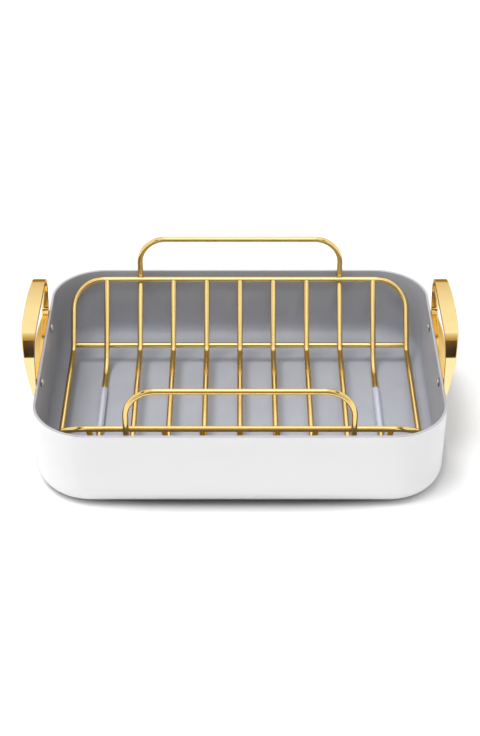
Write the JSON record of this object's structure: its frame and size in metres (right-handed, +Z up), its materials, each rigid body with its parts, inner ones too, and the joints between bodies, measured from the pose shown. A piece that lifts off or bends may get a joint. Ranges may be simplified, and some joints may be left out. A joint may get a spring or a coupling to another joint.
{
  "type": "roasting pan with rack",
  "caption": "Rectangular roasting pan with rounded corners and riveted stirrup handles, and a lift-out cradle-shaped wire rack with a carrying bail at front and back and sleeved feet.",
  "frame": {"origin": "bottom centre of the pan, on the surface it stands on", "axes": "+X along the long side of the pan towards one stirrup handle, +Y along the short side, +Z up"},
  "size_m": [0.451, 0.323, 0.1415],
  "materials": {
    "pan_coating": "gloss white outside, satin grey ceramic inside",
    "handle_gold": "polished gold plating",
    "rack_gold": "bright gold plated wire",
    "rivet_metal": "satin",
    "sleeve_silicone": "translucent, smooth"
  },
  "bodies": {
    "pan": {"pan_body": "pan_coating", "left_handle": "handle_gold", "right_handle": "handle_gold", "rivet_left_front": "rivet_metal", "rivet_left_rear": "rivet_metal", "rivet_right_front": "rivet_metal", "rivet_right_rear": "rivet_metal"},
    "rack": {"rack_frame": "rack_gold", "rack_handle_loop": "rack_gold", "rib_1": "rack_gold", "rib_2": "rack_gold", "rib_3": "rack_gold", "rib_4": "rack_gold", "rib_5": "rack_gold", "leg_wire_left": "rack_gold", "leg_wire_right": "rack_gold", "cross_wire_front": "rack_gold", "cross_wire_back": "rack_gold", "foot_sleeve_left": "sleeve_silicone", "foot_sleeve_right": "sleeve_silicone"}
  },
  "joints": [
    {"name": "rack_lift", "type": "slide", "parent": "pan", "child": "rack", "axis": [0, 0, 1], "range_m": [0, 0.15]}
  ]
}
